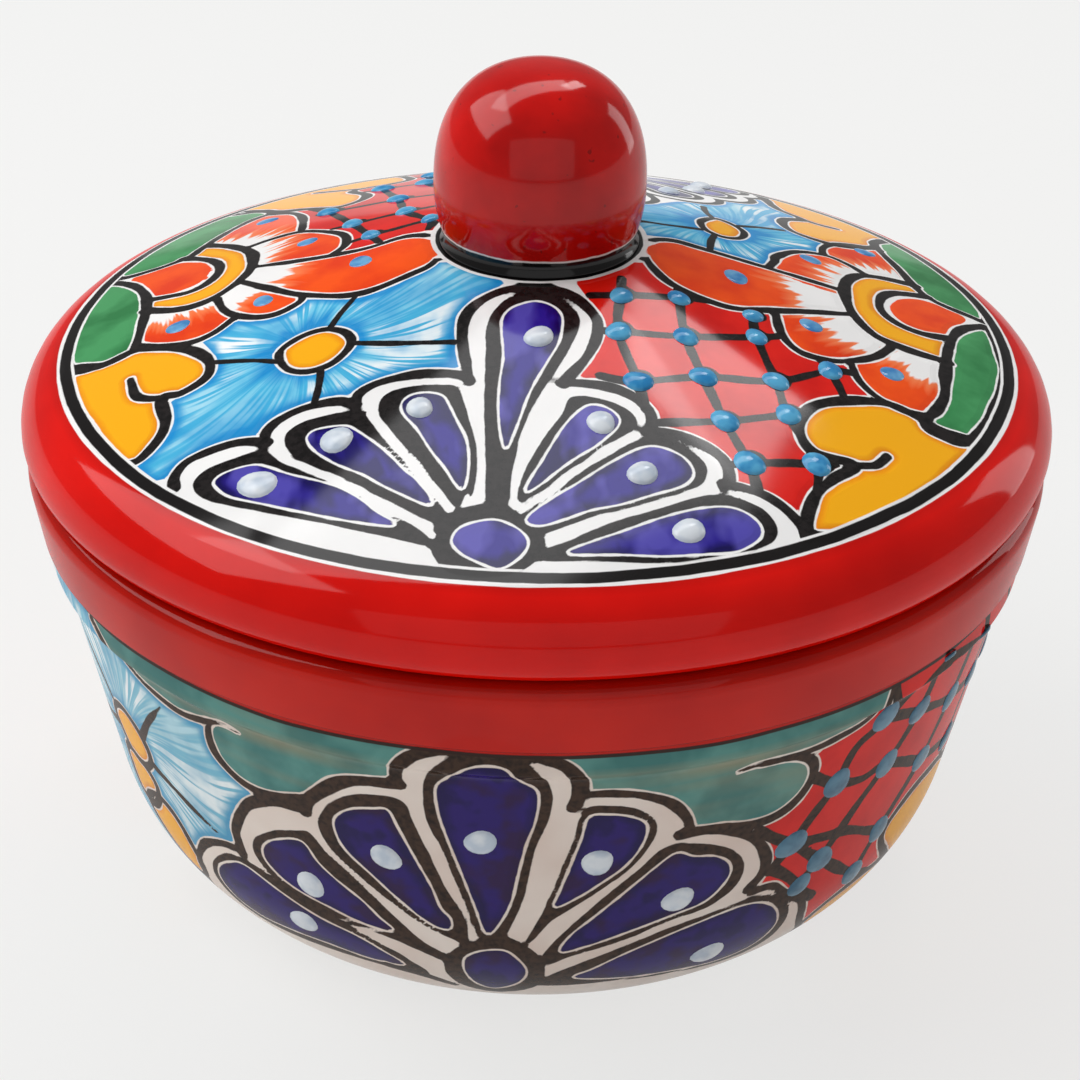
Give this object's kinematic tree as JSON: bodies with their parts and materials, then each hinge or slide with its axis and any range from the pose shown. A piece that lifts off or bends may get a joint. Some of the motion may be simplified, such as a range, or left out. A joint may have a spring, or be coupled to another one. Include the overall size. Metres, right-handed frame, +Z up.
{
  "type": "tortilla warmer",
  "caption": "Round glazed earthenware tortilla warmer: a deep footed bowl and a loose domed lid with a flange inside the mouth and a ball knob.",
  "frame": {"origin": "centre of the circle that the bowl's foot ring stands on", "axes": "+Z up along the axis of the bowl and lid; -Y towards the front, where the painted fans of the bowl and lid face"},
  "size_m": [0.2536, 0.2536, 0.2096],
  "materials": {
    "bowl_glaze": "glossy clear glaze over hand-painted bands and flowers on a cream ground",
    "lid_glaze": "glossy clear glaze over hand-painted flowers on a white ground, red rim",
    "knob_glaze": "glossy red glaze with a black painted foot"
  },
  "bodies": {
    "bowl": {"bowl": "bowl_glaze"},
    "lid": {"lid": "lid_glaze", "knob": "knob_glaze"}
  },
  "joints": [
    {"name": "lid_lift", "type": "slide", "parent": "bowl", "child": "lid", "axis": [0, 0, 1], "range_m": [0, 0.15]}
  ]
}
